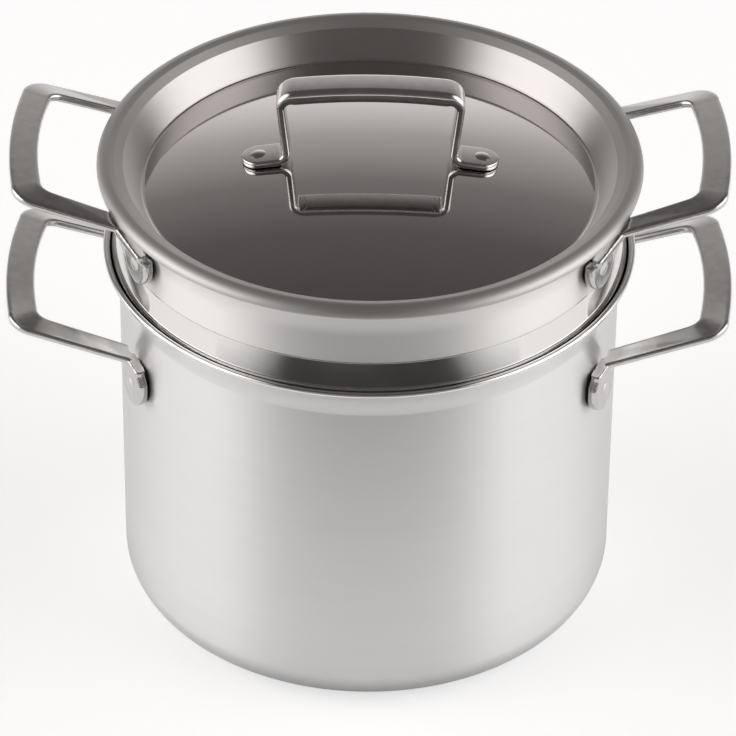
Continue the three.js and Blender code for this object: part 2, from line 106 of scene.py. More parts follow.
# Perforations. A row's start and every other row's stagger are shares of the pitch between holes, and each
# ring of the floor has so many holes more than the ring inside it.
HOLE_RADIUS = 2.75 * MM
HOLES_PER_ROW = 20
ROW_START = 0.25
ROW_STAGGER = 0.5
WALL_ROWS = 6
FIRST_ROW_Z = BASKET_BOTTOM + 17 * MM
ROW_PITCH = 21 * MM
FLOOR_RINGS = 3
HOLES_MORE_PER_RING = 6
RING_PITCH = 20 * MM
DRILL_LENGTH = 20 * MM

# Lid
LID_SHEET = 1.2 * MM
LID_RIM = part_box("lid_shell")[1]
LID_LIP_BOTTOM = LID_RIM.z - 4.5 * MM
LID_CROWN_WIDTH = 5 * MM
LID_CROWN_HEIGHT = 3.7 * MM
DOME_EDGE_RADIUS = LID_RIM.x - 21.6 * MM
DOME_CENTRE_Z = LID_RIM.z - 1.3 * MM
DOME_CURVE = 320 * MM
DOME_STEPS = 40

# Bends of the lid outside its dome: how far out of the dome's edge, how high over it, and the bend's radius
Bend = namedtuple("Bend", "out up radius")
FOLD = Bend(3.7 * MM, -1.1 * MM, 2 * MM)
WALL_HEAD = Bend(11 * MM, 10.8 * MM, 0.8 * MM)
RIM_SHOULDER = Bend(14.5 * MM, 13 * MM, 2 * MM)
LID_BENDS = [FOLD, WALL_HEAD, RIM_SHOULDER]

# Loop handles
FOOT_RADIUS = 9.2 * MM
FOOT_THICKNESS = 4.4 * MM
FOOT_TOP_REACH = 7.5 * MM
ROOT_SPREAD = 41.5 * MM
ROOT_WIDTH = 9.5 * MM
ARM_SPREAD = 39 * MM
ARM_WIDTH = 8.5 * MM
LOOP_TILT = math.radians(17.7)
LOOP_THICKNESS = 3.4 * MM
GRIP_WIDTH = 11.6 * MM
GRIP_BOW = 2.6 * MM
INNER_CORNER = 5 * MM
OUTER_CORNER = 10 * MM
CORNER_FLARE = 1 * MM
STRAP_CAMBER = math.tan(math.radians(10))
CORNER_TURNS = [math.radians(degrees) for degrees in range(0, 91, 10)]
GRIP_STEPS = 8
BLEND_VOXEL = 0.5 * MM
SOFTEN_FACTOR = 0.5
SOFTEN_STEPS = 4

# What differs between the pot's loops and the insert's, whose feet lean out to clear the rim above them
Loop = namedtuple("Loop", "wall_radius foot_angle rivet_z lean_from stand_off rise reach")
POT_LOOP = Loop(
    wall_radius=POT_RADIUS,
    foot_angle=math.radians(25.8),
    rivet_z=123.3 * MM,
    lean_from=4 * MM,
    stand_off=0.4 * MM,
    rise=10.4 * MM,
    reach=148.8 * MM,
)
INSERT_LOOP = Loop(
    wall_radius=COLLAR_RADIUS,
    foot_angle=math.radians(30.2),
    rivet_z=188.6 * MM,
    lean_from=3.7 * MM,
    stand_off=2.2 * MM,
    rise=7.2 * MM,
    reach=145.4 * MM,
)

# Lid handle
TAB_X = 45 * MM
TAB_RADIUS = 7 * MM
TAB_THICKNESS = 3 * MM
LEG_BOTTOM_X = 33.9 * MM
LEG_TOP_X = 36.2 * MM
LEG_THICKNESS = 3.2 * MM
LEG_WIDTH = 12 * MM
TAB_BEND = 4.2 * MM
GRIP_BEND = 5.5 * MM
BRIDGE_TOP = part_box("lid_handle")[1].z
BRIDGE_ARCH = 1.8 * MM
BRIDGE_THICKNESS = 6.5 * MM
BRIDGE_WIDTH = 14 * MM

# Bars have their edges rounded by this share of their thickness, and round ends with points at these angles
EDGE_ROUND = 0.4
TIP_ANGLES = [math.radians(degrees) for degrees in (88, 80, 70, 60, 48, 36, 24, 12, 0)]

# Rivets
SHANK_RADIUS = 2 * MM
HEAD_RADIUS = 3.3 * MM
HEAD_HEIGHT = 0.9 * MM
BACK_HEAD_RADIUS = 4.5 * MM
BACK_HEAD_FLAT = 3.6 * MM

# Patterns of the finishes: streaks round the axis and spots all over, by their number in a metre
Streaks = namedtuple("Streaks", "across along detail")
Spots = namedtuple("Spots", "per_metre detail")
FINE_STREAKS = Streaks(across=3000, along=40, detail=3)
BROAD_STREAKS = Streaks(across=160, along=12, detail=2)
POLISHING_RINGS = Streaks(across=900, along=20, detail=2)
SMUDGES = Spots(per_metre=45, detail=4)
MOTTLE = Spots(per_metre=260, detail=4)
GRAIN = Spots(per_metre=1500, detail=3)

# Noise values between these two cover a pattern's whole range
NOISE_LOW = 0.3
NOISE_HIGH = 0.7

# How much a pattern shows: as a share of the colour, as the least and the most share of the roughness,
# and as relief
Relief = namedtuple("Relief", "strength depth")
BRUSHED_TONE = 0.008
BRUSHED_GLOSS = (0.96, 1.04)
BRUSHED_RELIEF = Relief(strength=0.012, depth=0.05 * MM)
POLISHED_TONE = 0.015
POLISHED_GLOSS = (0.8, 1.3)
POLISHED_RELIEF = Relief(strength=0.02, depth=0.02 * MM)
CAST_TONE = 0.05
CAST_GLOSS = (0.85, 1.2)
CAST_RELIEF = Relief(strength=0.05, depth=0.02 * MM)

# Quarter turn, as a share of a full one: highlights stretch across the streaks
ACROSS_STREAKS = 0.25

# Floor
FLOOR_HALF = 6
FLOOR_GREY = 0.7
FLOOR_ROUGHNESS = 0.6
FLOOR_GLOW = 0.56

# Dark shades on the floor that show only in the steel: a patch in front of the pot, and where the pot stands
SHADE_GREY = 0.03
PATCH_NEAR_Y = -0.34
PATCH_FAR_Y = -1.25
PATCH_HALF = 0.66
PATCH_END_FADE = 0.03
PATCH_SIDE_FADE = 0.16
PATCH_HEIGHT = 1 * MM
CONTACT_RADIUS = 94 * MM
CONTACT_FADE = 30 * MM
CONTACT_STRENGTH = 0.7
CONTACT_HEIGHT = 0.1 * MM

# Light levels: of the room by how high a direction points, of the glow behind the pot by how far back it
# points, and of the soft side lights by the cosine of its angle from their middle
ROOM_LEVELS = {0: 0.25, 0.2: 0.2, 0.45: 0.1, 1: 0.088}
BACK_LEVELS = {0.4: 0, 0.62: 0.037, 0.77: 0.15, 0.81: 0.24, 0.89: 0.42, 0.94: 0.63, 0.985: 0.85, 1: 0.95}
SIDE_LEVELS = {0.72: 0, 0.82: 1, 0.92: 2.5}
SIDE_MIDDLE = Vector((0.95, -0.12, 0.25)).normalized()
ROOM_TINT = (1.07, 0.98, 0.96)
GLOW_TINT = (1, 0.98, 0.97)

# Camera, from the photograph's ellipses
LENS = 235
CAMERA_DISTANCE = 2.004
CAMERA_PITCH = math.radians(35.95)
CAMERA_ROLL = math.radians(0.6)
CAMERA_TARGET = Vector((0, 0, 0.099))


# Profiles

def lerp(a, b, share):
    """Value between two values, at a share of the way from the first to the second."""
    return a + (b - a) * share


def arc(centre_x, centre_y, radius, start, end, steps):
    """Points of a circular arc in a profile plane, ends included."""
    points = []
    for i in range(steps + 1):
        angle = lerp(start, end, i / steps)
        points.append(Vector((centre_x + radius * math.cos(angle), centre_y + radius * math.sin(angle))))
    return points


def rounded(points, radii):
    """A profile whose corners are rounded, each by about its own radius. The ends stay as they are."""
    result = [points[0]]
    for before, corner, after, radius in zip(points, points[1:], points[2:], radii[1:]):
        into = (corner - before).normalized()
        out_of = (after - corner).normalized()
        reach = radius * math.tan(into.angle(out_of) / 2)
        reach = min(reach, CORNER_SHARE * (corner - before).length, CORNER_SHARE * (after - corner).length)
        first = corner - into * reach
        last = corner + out_of * reach
        for i in range(EDGE_STEPS + 1):
            share = i / EDGE_STEPS
            result.append(lerp(lerp(first, corner, share), lerp(corner, last, share), share))
    result.append(points[-1])
    return tidy_profile(result)


def tidy_profile(points):
    """A profile without points that lie on the point before them."""
    result = [points[0]]
    for point in points[1:]:
        if (point - result[-1]).length > SAME_POINT:
            result.append(point)
    return result


def other_face(profile, thickness):
    """The other face of a sheet: the profile moved sideways by the thickness, mitred at every bend."""
    moved = []
    for i, point in enumerate(profile):
        into = (point - profile[i - 1]).normalized() if i > 0 else None
        out_of = (profile[i + 1] - point).normalized() if i < len(profile) - 1 else None
        first = into or out_of
        second = out_of or into
        left = Vector((-first.y - second.y, first.x + second.x)).normalized()
        mitre = left.dot(Vector((-first.y, first.x)))
        shifted = point + left * (thickness / mitre)
        if point.x < ON_AXIS:
            shifted.x = 0
        moved.append(shifted)
    return moved


def sheet_outline(profile, thickness):
    """Outline of a sheet with one face on the profile, the sheet on its left and a round free edge."""
    far = other_face(profile, thickness)
    middle = (profile[-1] + far[-1]) / 2
    start = math.atan2(profile[-1].y - middle.y, profile[-1].x - middle.x)
    turn = math.copysign(math.pi, thickness)
    edge = arc(middle.x, middle.y, abs(thickness) / 2, start, start + turn, EDGE_STEPS)
    return profile + edge[1:-1] + far[::-1]


def flare(wall_radius, sheet, rim_top, reach, crease=0):
    """Outer face of a flared rim above a straight wall, for a sheet that lies on the inside."""
    turn = math.acos(math.cos(crease) - reach / FLARE_RADIUS)
    middle_x = wall_radius + FLARE_RADIUS * math.cos(crease)
    middle_z = rim_top - sheet / 2 - (FLARE_RADIUS + sheet / 2) * math.sin(turn)
    return arc(middle_x, middle_z, FLARE_RADIUS, math.pi - crease, math.pi - turn, ARC_STEPS)


# Meshes and objects

def smooth_object(name, bm, materials):
    """A smooth shaded object made from a bmesh, with edges over a set angle left sharp."""
    bmesh.ops.recalc_face_normals(bm, faces=bm.faces)
    for face in bm.faces:
        face.smooth = True
    mesh = bpy.data.meshes.new(name)
    bm.to_mesh(mesh)
    bm.free()
    mesh.set_sharp_from_angle(angle=SHARP_ANGLE)
    for material in materials:
        mesh.materials.append(material)
    made = bpy.data.objects.new(name, mesh)
    bpy.context.scene.collection.objects.link(made)
    return made


def turned(outline, segments, zone=None):
    """Bmesh of an outline turned round Z, with its ends on the axis.

    The function zone gives the material number of the stretch after each of the outline's points.
    """
    bm = bmesh.new()
    angles = [2 * math.pi * k / segments for k in range(segments)]
    rings = []
    for point in outline:
        if point.x < ON_AXIS:
            corners = [(0, 0, point.y)]
        else:
            corners = [(point.x * math.cos(angle), point.x * math.sin(angle), point.y) for angle in angles]
        rings.append([bm.verts.new(corner) for corner in corners])
    for i, (low, high) in enumerate(zip(rings, rings[1:])):
        number = zone(i) if zone else 0
        for k in range(segments):
            after = k + 1
            corners = [low[k % len(low)], low[after % len(low)], high[after % len(high)], high[k % len(high)]]
            face = bm.faces.new(list(dict.fromkeys(corners)))
            face.material_index = number
    return bm


def even_normals(made):
    """Weigh the normals by face area, so that flat stretches beside small bends stay flat."""
    modifier = made.modifiers.new("even_normals", "WEIGHTED_NORMAL")
    modifier.keep_sharp = True


def apply_modifiers(made):
    """Replace an object's mesh by its modified mesh."""
    shape = made.evaluated_get(bpy.context.evaluated_depsgraph_get())
    mesh = bpy.data.meshes.new_from_object(shape)
    made.modifiers.clear()
    made.data = mesh


def place(made, node, body):
    """Let a piece stand for a node of the frame and move with its body."""
    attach(made, body)
    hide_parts(node)


# Shader nodes

def maths(tree, operation, first, second=0):
    """Math node on one or two values, each a socket or a number; returns its result."""
    node = tree.nodes.new("ShaderNodeMath")
    node.operation = operation
    for socket, value in zip(node.inputs, (first, second)):
        if isinstance(value, (int, float)):
            socket.default_value = value
        else:
            tree.links.new(value, socket)
    return node.outputs[0]


def object_point(tree):
    """Place on the object, in metres."""
    return tree.nodes.new("ShaderNodeTexCoord").outputs["Object"]


def coordinates(tree, point):
    """The three coordinates of a place or a direction."""
    node = tree.nodes.new("ShaderNodeSeparateXYZ")
    tree.links.new(point, node.inputs[0])
    return node.outputs["X"], node.outputs["Y"], node.outputs["Z"]


def axis_distance(tree, x, y):
    """Distance of a place from the Z axis."""
    squares = maths(tree, "ADD", maths(tree, "MULTIPLY", x, x), maths(tree, "MULTIPLY", y, y))
    return maths(tree, "SQRT", squares)


def noise(tree, point, scale, detail):
    """Noise texture at a place, about 0.5 on average."""
    node = tree.nodes.new("ShaderNodeTexNoise")
    node.inputs["Scale"].default_value = scale
    node.inputs["Detail"].default_value = detail
    tree.links.new(point, node.inputs["Vector"])
    return node.outputs["Fac"]


def streaks(tree, kind):
    """Noise in streaks that run round the axis: fine across the streaks and coarse along them."""
    x, y, z = coordinates(tree, object_point(tree))
    join = tree.nodes.new("ShaderNodeCombineXYZ")
    tree.links.new(maths(tree, "MULTIPLY", axis_distance(tree, x, y), kind.across), join.inputs["X"])
    tree.links.new(maths(tree, "MULTIPLY", z, kind.across), join.inputs["Y"])
    tree.links.new(maths(tree, "MULTIPLY", maths(tree, "ADD", x, y), kind.along), join.inputs["Z"])
    return noise(tree, join.outputs[0], 1, kind.detail)


def spots(tree, kind):
    """Noise in spots."""
    return noise(tree, object_point(tree), kind.per_metre, kind.detail)


def spread(tree, value, low, high):
    """Map a noise value to a range."""
    node = tree.nodes.new("ShaderNodeMapRange")
    node.inputs["From Min"].default_value = NOISE_LOW
    node.inputs["From Max"].default_value = NOISE_HIGH
    node.inputs["To Min"].default_value = low
    node.inputs["To Max"].default_value = high
    tree.links.new(value, node.inputs["Value"])
    return node.outputs["Result"]


def tone(tree, shader, value, colour, contrast):
    """Vary the shader's colour by a noise value, from a darker to a lighter tone of it."""
    mix = tree.nodes.new("ShaderNodeMix")
    mix.data_type = "RGBA"
    mix.inputs["A"].default_value = (*[part * (1 - contrast) for part in colour], 1)
    mix.inputs["B"].default_value = (*[min(part * (1 + contrast), 1) for part in colour], 1)
    tree.links.new(spread(tree, value, 0, 1), mix.inputs["Factor"])
    tree.links.new(mix.outputs["Result"], shader.inputs["Base Color"])


def gloss(tree, shader, value, roughness, shares):
    """Vary the shader's roughness by a noise value, between two shares of it."""
    least, most = shares
    tree.links.new(spread(tree, value, roughness * least, roughness * most), shader.inputs["Roughness"])


def bump(tree, shader, value, relief):
    """Raise the surface by a noise value."""
    node = tree.nodes.new("ShaderNodeBump")
    node.inputs["Strength"].default_value = relief.strength
    node.inputs["Distance"].default_value = relief.depth
    tree.links.new(value, node.inputs["Height"])
    tree.links.new(node.outputs["Normal"], shader.inputs["Normal"])


# Materials

def new_material(name, colour):
    """Material of one colour, as (material, node tree, shader)."""
    material = bpy.data.materials.new(name)
    material.use_nodes = True
    tree = material.node_tree
    shader = tree.nodes["Principled BSDF"]
    shader.inputs["Base Color"].default_value = (*colour, 1)
    return material, tree, shader


def new_steel(name, colour):
    """Metallic material of one colour, as (material, node tree, shader)."""
    material, tree, shader = new_material(name, colour)
    shader.inputs["Metallic"].default_value = 1
    return material, tree, shader


def brushed_steel(name, colour, roughness, anisotropy):
    """Satin steel, brushed round the axis: streaks vary its tone, its gloss and its height."""
    material, tree, shader = new_steel(name, colour)
    fine = streaks(tree, FINE_STREAKS)
    tone(tree, shader, streaks(tree, BROAD_STREAKS), colour, BRUSHED_TONE)
    gloss(tree, shader, fine, roughness, BRUSHED_GLOSS)
    bump(tree, shader, fine, BRUSHED_RELIEF)
    shader.inputs["Anisotropic"].default_value = anisotropy
    shader.inputs["Anisotropic Rotation"].default_value = ACROSS_STREAKS
    tangent = tree.nodes.new("ShaderNodeTangent")
    tangent.direction_type = "RADIAL"
    tangent.axis = "Z"
    tree.links.new(tangent.outputs[0], shader.inputs["Tangent"])
    return material


def polished_steel(name, colour, roughness):
    """Polished steel with smudges in its tone and gloss, and faint polishing rings."""
    material, tree, shader = new_steel(name, colour)
    smudges = spots(tree, SMUDGES)
    tone(tree, shader, smudges, colour, POLISHED_TONE)
    gloss(tree, shader, smudges, roughness, POLISHED_GLOSS)
    bump(tree, shader, streaks(tree, POLISHING_RINGS), POLISHED_RELIEF)
    return material


def cast_steel(name, colour, roughness):
    """Cast steel: mottled tone and gloss over a fine grain."""
    material, tree, shader = new_steel(name, colour)
    mottle = spots(tree, MOTTLE)
    tone(tree, shader, mottle, colour, CAST_TONE)
    gloss(tree, shader, mottle, roughness, CAST_GLOSS)
    bump(tree, shader, spots(tree, GRAIN), CAST_RELIEF)
    return material


SATIN = brushed_steel("satin_steel", colour=(0.70, 0.695, 0.69), roughness=0.37, anisotropy=0.85)
# The collar's satin is a little lighter than the pot's: painted light.
LIT_COLLAR_SATIN = brushed_steel("collar_steel_painted_light", colour=(0.74, 0.73, 0.72), roughness=0.4, anisotropy=0.85)
# The flange's satin is much darker than the lid's other steel: painted shade.
SHADED_FLANGE = brushed_steel("flange_steel_painted_shade", colour=(0.50, 0.485, 0.475), roughness=0.5, anisotropy=0.3)
RECESS = brushed_steel("recess_steel", colour=(0.65, 0.63, 0.62), roughness=0.43, anisotropy=0.95)
POLISHED = polished_steel("polished_steel", colour=(0.72, 0.71, 0.70), roughness=0.08)
MIRROR = polished_steel("mirror_steel", colour=(0.62, 0.595, 0.585), roughness=0.05)
CAST = cast_steel("cast_steel", colour=(0.58, 0.57, 0.56), roughness=0.22)
BRIDGE_STEEL = cast_steel("bridge_steel", colour=(0.64, 0.63, 0.62), roughness=0.14)
RIVET_STEEL = polished_steel("rivet_steel", colour=(0.60, 0.59, 0.58), roughness=0.16)


# Sheet metal

def pot_body():
    """Pot: flat base, rounded corner, straight wall and flared rim, satin outside and polished inside."""
    profile = [Vector((0, 0))]
    profile += arc(POT_RADIUS - BASE_CORNER, BASE_CORNER, BASE_CORNER, -math.pi / 2, 0, ARC_STEPS)
    profile += flare(POT_RADIUS, POT_SHEET, POT_RIM_TOP, POT_FLARE_REACH, POT_CREASE)
    outline = sheet_outline(profile, POT_SHEET)

    def zone(i):
        """Satin on the outer face, polished on the rim's edge and the inner face."""
        return 1 if i >= len(profile) - 1 else 0

    made = smooth_object("pot_body_smooth", turned(outline, TURN_SEGMENTS, zone), [SATIN, POLISHED])
    even_normals(made)
    place(made, "pot_body", "pot")


def outward(angle):
    """Unit vector in the horizontal plane at an angle from +X."""
    return Vector((math.cos(angle), math.sin(angle), 0))


def add_drill(bm, centre, direction):
    """Add a cylinder for one hole to a bmesh."""
    turn = UP.rotation_difference(direction).to_matrix().to_4x4()
    bmesh.ops.create_cone(
        bm,
        cap_ends=True,
        segments=HOLE_SEGMENTS,
        radius1=HOLE_RADIUS,
        radius2=HOLE_RADIUS,
        depth=DRILL_LENGTH,
        matrix=Matrix.Translation(centre) @ turn,
    )


def basket_drills():
    """One object with a cylinder for each hole of the basket, in rows up its wall and rings in its floor."""
    bm = bmesh.new()
    for row in range(WALL_ROWS):
        for column in range(HOLES_PER_ROW):
            angle = 2 * math.pi * (column + ROW_START + row % 2 * ROW_STAGGER) / HOLES_PER_ROW
            centre = outward(angle) * BASKET_RADIUS + UP * (FIRST_ROW_Z + row * ROW_PITCH)
            add_drill(bm, centre, outward(angle))
    add_drill(bm, UP * BASKET_BOTTOM, UP)
    for ring in range(1, FLOOR_RINGS + 1):
        count = HOLES_MORE_PER_RING * ring
        for i in range(count):
            add_drill(bm, outward(2 * math.pi * i / count) * ring * RING_PITCH + UP * BASKET_BOTTOM, UP)
    return smooth_object("basket_drills", bm, [])


def perforate(made):
    """Cut the basket's holes through the insert's sheet."""
    drills = basket_drills()
    cut = made.modifiers.new("holes", "BOOLEAN")
    cut.operation = "DIFFERENCE"
    cut.solver = "EXACT"
    cut.object = drills
    apply_modifiers(made)
    bpy.data.objects.remove(drills)
    made.data.set_sharp_from_angle(angle=SHARP_ANGLE)


def shoulder():
    """Shoulder of the insert: two equal arcs from the basket's wall out to the neck."""
    turn = 2 * math.atan2(NECK_RADIUS - BASKET_RADIUS, SHOULDER_DROP)
    radius = SHOULDER_DROP / (2 * math.sin(turn))
    low_z = SHOULDER_TOP - SHOULDER_DROP
    low = arc(BASKET_RADIUS + radius, low_z, radius, math.pi, math.pi - turn, ARC_STEPS // 2)
    high = arc(NECK_RADIUS - radius, SHOULDER_TOP, radius, -turn, 0, ARC_STEPS // 2)
    return low + high[1:]


def insert_profile():
    """Outer face of the insert: basket, shoulder, neck that spreads onto the pot's rim, collar and flare."""
    corner_radius = BASKET_RADIUS - BASKET_CORNER
    step_low = Vector((NECK_RADIUS, COLLAR_BOTTOM - COLLAR_STEP_HEIGHT))
    step_high = Vector((COLLAR_RADIUS, COLLAR_BOTTOM))
    rim = flare(COLLAR_RADIUS, INSERT_SHEET, INSERT_RIM_TOP, INSERT_FLARE_REACH)
    neck = shoulder()
    corners = [neck[-1], NECK_FOOT, step_low, step_high, rim[0]]
    step = rounded(corners, [0, FOOT_FILLET, STEP_FILLET, STEP_FILLET, 0])
    profile = [Vector((0, BASKET_BOTTOM))]
    profile += arc(corner_radius, BASKET_BOTTOM + BASKET_CORNER, BASKET_CORNER, -math.pi / 2, 0, ARC_STEPS)
    return profile + neck + step[1:-1] + rim


def insert_basket():
    """Insert: polished perforated basket and neck under a satin collar lightened by painted light."""
    outline = sheet_outline(insert_profile(), INSERT_SHEET)

    def zone(i):
        """Polished up to the middle of the collar's step, satin lightened by painted light above it."""
        return 1 if outline[i].y > COLLAR_BOTTOM - COLLAR_STEP_HEIGHT / 2 else 0

    made = smooth_object("insert_smooth", turned(outline, TURN_SEGMENTS, zone), [POLISHED, LIT_COLLAR_SATIN])
    perforate(made)
    even_normals(made)
    place(made, "insert_basket", "insert")


def dome_height(radius):
    """Height of the lid's top face over its dome."""
    return DOME_CENTRE_Z - radius ** 2 / (2 * DOME_CURVE)


def dome_slope(radius):
    """Slope of the dome's top face along its radius."""
    return -radius / DOME_CURVE


def lid_crown():
    """Round crown of the lid's rim, a quarter of an ellipse from its crest out to its lip."""
    crest_radius = LID_RIM.x - LID_CROWN_WIDTH
    points = []
    for point in arc(0, 0, 1, math.pi / 2, 0, ARC_STEPS):
        z = LID_RIM.z - LID_CROWN_HEIGHT * (1 - point.y)
        points.append(Vector((crest_radius + LID_CROWN_WIDTH * point.x, z)))
    return points


def lid_profile():
    """Top face of the lid: dome, fold, sloping wall, rim and turned-down lip."""
    radii = [DOME_EDGE_RADIUS * i / DOME_STEPS for i in range(DOME_STEPS + 1)]
    dome = [Vector((radius, dome_height(radius))) for radius in radii]
    bends = [dome[-1] + Vector((bend.out, bend.up)) for bend in LID_BENDS]
    crown = lid_crown()
    lip = Vector((LID_RIM.x, LID_LIP_BOTTOM + LID_SHEET / 2))
    wall = rounded([dome[-1]] + bends + [crown[0]], [0] + [bend.radius for bend in LID_BENDS] + [0])
    return dome[:-1] + wall + crown[1:] + [lip]


def lid_shell():
    """Lid: mirror dome, brushed wall round it, satin rim and lip darkened by painted shade."""
    outline = sheet_outline(lid_profile(), -LID_SHEET)

    def zone(i):
        """Mirror up to the fold, brushed up to the head of the wall, and satin darkened by painted shade
        outside it.
        """
        out = outline[i].x - DOME_EDGE_RADIUS
        if out < FOLD.out:
            return 0
        if out < WALL_HEAD.out:
            return 1
        return 2

    made = smooth_object("lid_smooth", turned(outline, TURN_SEGMENTS, zone), [MIRROR, RECESS, SHADED_FLANGE])
    even_normals(made)
    place(made, "lid_shell", "lid")


# Cast handles

# A cross-section of a bar: its centre, the direction of its width, its width and its thickness
Station = namedtuple("Station", "centre across width thickness")


def section(width, thickness):
    """Outline of a bar's section, a rectangle with rounded corners."""
    radius = EDGE_ROUND * min(width, thickness)
    points = []
    for quarter in range(4):
        middle = math.pi / 4 + quarter * math.pi / 2
        x = math.copysign(width / 2 - radius, math.cos(middle))
        y = math.copysign(thickness / 2 - radius, math.sin(middle))
        points += arc(x, y, radius, quarter * math.pi / 2, (quarter + 1) * math.pi / 2, EDGE_STEPS)
    return points


def add_bar(bm, stations):
    """Add a closed bar to a bmesh, skinned through a row of stations."""
    rings = []
    last = len(stations) - 1
    for i, station in enumerate(stations):
        run = stations[min(i + 1, last)].centre - stations[max(i - 1, 0)].centre
        face = run.cross(station.across).normalized()
        outline = section(station.width, station.thickness)
        rings.append([bm.verts.new(station.centre + station.across * p.x + face * p.y) for p in outline])
    count = len(rings[0])
    for low, high in zip(rings, rings[1:]):
        for k in range(count):
            after = (k + 1) % count
            bm.faces.new([low[k], low[after], high[after], high[k]])
    bm.faces.new(rings[0])
    bm.faces.new(rings[-1][::-1])


def station_between(start, end, thickness):
    """Station of a bar from its inner to its outer edge."""
    across = end - start
    return Station((start + end) / 2, across.normalized(), across.length, thickness)


def flipped(stations, flip):
    """The mirror image of a row of stations."""
    images = []
    for station in stations:
        images.append(station._replace(centre=station.centre * flip, across=station.across * flip))
    return images


def mirrored(half, flip):
    """A row of stations and its mirror image in a vertical plane, the last station being on that plane."""
    return half + flipped(half[-2::-1], flip)


def on_foot(loop, stand_off):
    """Point on the centre of a loop's foot at +Y, at a distance off the wall."""
    return outward(loop.foot_angle) * (loop.wall_radius + FIT + FOOT_THICKNESS / 2 + stand_off)


def on_plane(loop, x, y):
    """Point of the plane of the arms and the grip, which rises outwards, over a point in plan."""
    z = loop.rivet_z + loop.rise + (x - on_foot(loop, 0).x) * math.tan(LOOP_TILT)
    return Vector((x, y, z))


def arm_root(loop):
    """Place in plan where an arm starts, on the middle of its foot's top."""
    foot = on_foot(loop, loop.stand_off)
    return foot.x + (foot.y - ROOT_SPREAD) * math.tan(loop.foot_angle), ROOT_SPREAD


def foot_stations(loop):
    """Foot of a loop at +Y: a plate on the wall that leans out and ends inside the arm's root."""
    across = outward(loop.foot_angle + math.pi / 2)
    on_wall = on_foot(loop, 0)
    stations = []
    for angle in TIP_ANGLES:
        centre = on_wall + UP * (loop.rivet_z - FOOT_RADIUS * math.sin(angle))
        stations.append(Station(centre, across, 2 * FOOT_RADIUS * math.cos(angle), FOOT_THICKNESS))
    stations.append(stations[-1]._replace(centre=on_wall + UP * (loop.rivet_z + loop.lean_from)))
    top_end = on_foot(loop, loop.stand_off) + across * FOOT_TOP_REACH
    top = station_between(on_plane(loop, *arm_root(loop)), on_plane(loop, *top_end.xy), FOOT_THICKNESS)
    stations.append(top._replace(centre=top.centre - UP * LOOP_THICKNESS / 2))
    stations.append(top._replace(centre=top.centre + UP * LOOP_THICKNESS / 4))
    return stations


def loop_edges(loop):
    """Inner and outer edge of a loop in plan, from the arm round its corner to the middle of the grip."""
    inner_x = loop.reach - GRIP_BOW - GRIP_WIDTH
    outer_x = loop.reach - GRIP_BOW
    inner_y = ARM_SPREAD - ARM_WIDTH / 2
    outer_y = ARM_SPREAD + ARM_WIDTH / 2 + CORNER_FLARE
    edges = []
    for turn in CORNER_TURNS:
        along = 1 - math.sin(turn)
        aside = 1 - math.cos(turn)
        inner = (inner_x - INNER_CORNER * along, inner_y - INNER_CORNER * aside)
        outer = (outer_x - OUTER_CORNER * along, outer_y - OUTER_CORNER * aside)
        edges.append((inner, outer))
    for step in range(1, GRIP_STEPS + 1):
        share = 1 - step / GRIP_STEPS
        bow = GRIP_BOW * (1 - share ** 2)
        inner = (inner_x + bow, share * (inner_y - INNER_CORNER))
        outer = (outer_x + bow, share * (outer_y - OUTER_CORNER))
        edges.append((inner, outer))
    return edges


def loop_stations(loop):
    """Bar of a loop at +X, from its back foot along an arm, round the grip and back to its front foot."""
    root_across = (outward(loop.foot_angle / 2 + math.pi / 2) - UP * STRAP_CAMBER).normalized()
    half = [Station(on_plane(loop, *arm_root(loop)), root_across, ROOT_WIDTH, LOOP_THICKNESS)]
    for inner, outer in loop_edges(loop):
        start = on_plane(loop, *inner)
        end = on_plane(loop, *outer)
        drop = UP * STRAP_CAMBER * (end - start).length / 2
        half.append(station_between(start + drop, end - drop, LOOP_THICKNESS))
    return mirrored(half, FLIP_Y)


def loop_handle(name, loop):
    """Right loop of a pair: a bar and two feet blended into one casting with soft edges."""
    bm = bmesh.new()
    add_bar(bm, loop_stations(loop))
    add_bar(bm, foot_stations(loop))
    add_bar(bm, flipped(foot_stations(loop), FLIP_Y))
    made = smooth_object(name, bm, [])
    blend = made.modifiers.new("blend", "REMESH")
    blend.mode = "VOXEL"
    blend.voxel_size = BLEND_VOXEL
    blend.use_smooth_shade = True
    soften = made.modifiers.new("soften", "SMOOTH")
    soften.factor = SOFTEN_FACTOR
    soften.iterations = SOFTEN_STEPS
    apply_modifiers(made)
    made.data.materials.append(CAST)
    return made


def loop_pair(body, loop):
    """Both loops of the pot or the insert; the left one is the right one turned half round the axis."""
    right = loop_handle(f"{body}_handle_right_cast", loop)
    mesh = right.data.copy()
    mesh.transform(Matrix.Rotation(math.pi, 4, "Z"))
    left = bpy.data.objects.new(f"{body}_handle_left_cast", mesh)
    bpy.context.scene.collection.objects.link(left)
    place(right, f"{body}_handle_right", body)
    place(left, f"{body}_handle_left", body)


def bridge_station(point, width, thickness):
    """Station of the lid handle at a point of its side view."""
    return Station(Vector((point.x, 0, point.y)), ALONG_Y, width, thickness)


def on_tab(radius):
    """Point of the side view on the centre of the lid handle's left tab, at a distance from the axis."""
    slope = dome_slope(TAB_X)
    lift = (FIT + TAB_THICKNESS / 2) * math.hypot(1, slope)
    return Vector((-radius, dome_height(TAB_X) + (radius - TAB_X) * slope + lift))


